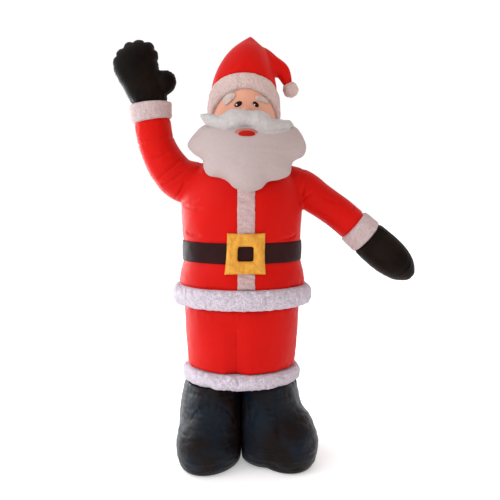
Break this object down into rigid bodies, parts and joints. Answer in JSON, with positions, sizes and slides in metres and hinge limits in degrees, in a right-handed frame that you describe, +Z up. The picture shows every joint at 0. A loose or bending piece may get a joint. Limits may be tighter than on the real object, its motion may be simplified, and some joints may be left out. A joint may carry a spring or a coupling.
{
  "type": "inflatable santa",
  "caption": "Air-blown yard figure of a bearded man in a red fur-trimmed coat and hat, one arm raised to wave, standing on two flat boot soles.",
  "frame": {"origin": "middle of the underside of the figure's box, on the ground between the boots", "axes": "+Z up, -Y the way that the figure faces, +X towards the figure's left"},
  "size_m": [1.7174, 0.7642, 2.4035],
  "materials": {
    "red_nylon": "red coated nylon taffeta, taut, with a broad soft sheen",
    "white_plush": "short white plush pile, matt",
    "black_nylon": "black coated nylon taffeta, taut, with a soft sheen",
    "belt_nylon": "dark brown-black nylon band, satin",
    "gold_satin": "golden yellow satin, stuffed",
    "skin_nylon": "skin-coloured nylon taffeta, matt",
    "mouth_red": "red nylon patch, satin",
    "eye_black": "printed black nylon patch, satin"
  },
  "bodies": {
    "root": {"boot_right": "black_nylon", "boot_left": "black_nylon", "trouser_fur": "white_plush", "trousers": "red_nylon", "coat_fur": "white_plush", "coat": "red_nylon", "belt": "belt_nylon", "buckle": "gold_satin", "front_trim_upper": "white_plush", "front_trim_lower": "white_plush", "cuff_raised": "white_plush", "cuff_lowered": "white_plush", "mitten_raised": "black_nylon", "mitten_lowered": "black_nylon", "head": "skin_nylon", "hair_and_brim": "white_plush", "hat": "red_nylon", "pompom": "white_plush", "beard": "white_plush", "moustache": "white_plush", "brow_right": "white_plush", "brow_left": "white_plush", "nose": "skin_nylon", "eye_right": "eye_black", "eye_left": "eye_black", "lip": "skin_nylon", "mouth": "mouth_red"}
  },
  "joints": []
}
